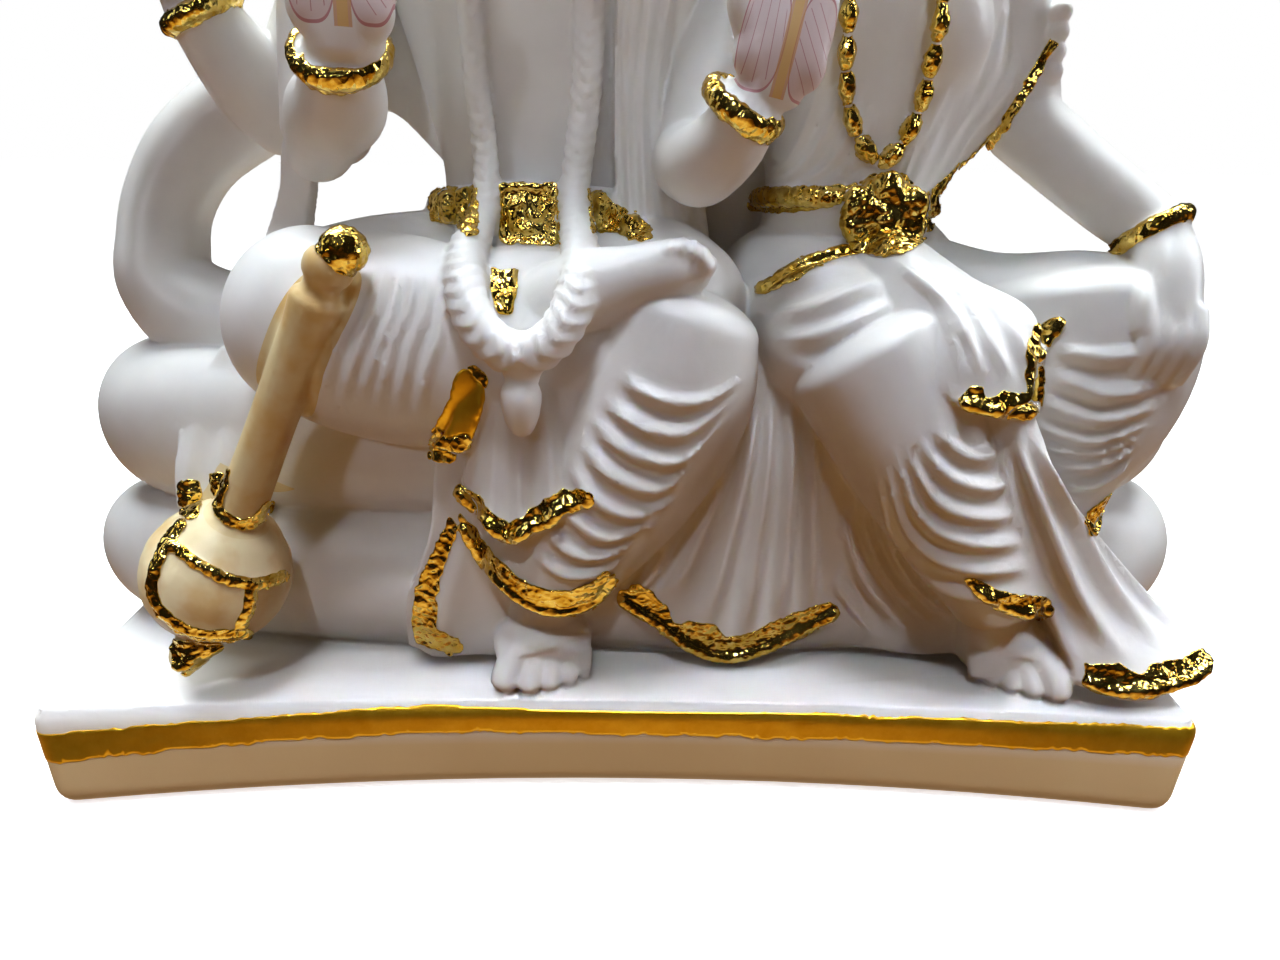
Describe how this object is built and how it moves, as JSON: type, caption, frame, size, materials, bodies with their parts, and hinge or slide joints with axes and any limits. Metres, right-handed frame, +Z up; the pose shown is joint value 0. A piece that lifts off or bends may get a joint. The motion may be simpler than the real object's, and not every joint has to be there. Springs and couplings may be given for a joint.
{
  "type": "vishnu and lakshmi statue",
  "caption": "Seated deity couple on a coiled serpent with a fanned hood, cast together with a low bowed plinth; stands on a shelf or altar for display and worship.",
  "frame": {"origin": "middle of the plinth's underside", "axes": "+Z up, +X to the viewer's right, the figures face -Y"},
  "size_m": [0.2224, 0.0882, 0.2616],
  "materials": {
    "marble_dust": "polished white marble dust casting",
    "gold_leaf": "crinkled gold coloured leaf"
  },
  "bodies": {
    "root": {"vishnu_lakshmi_casting": "marble_dust"}
  },
  "joints": []
}
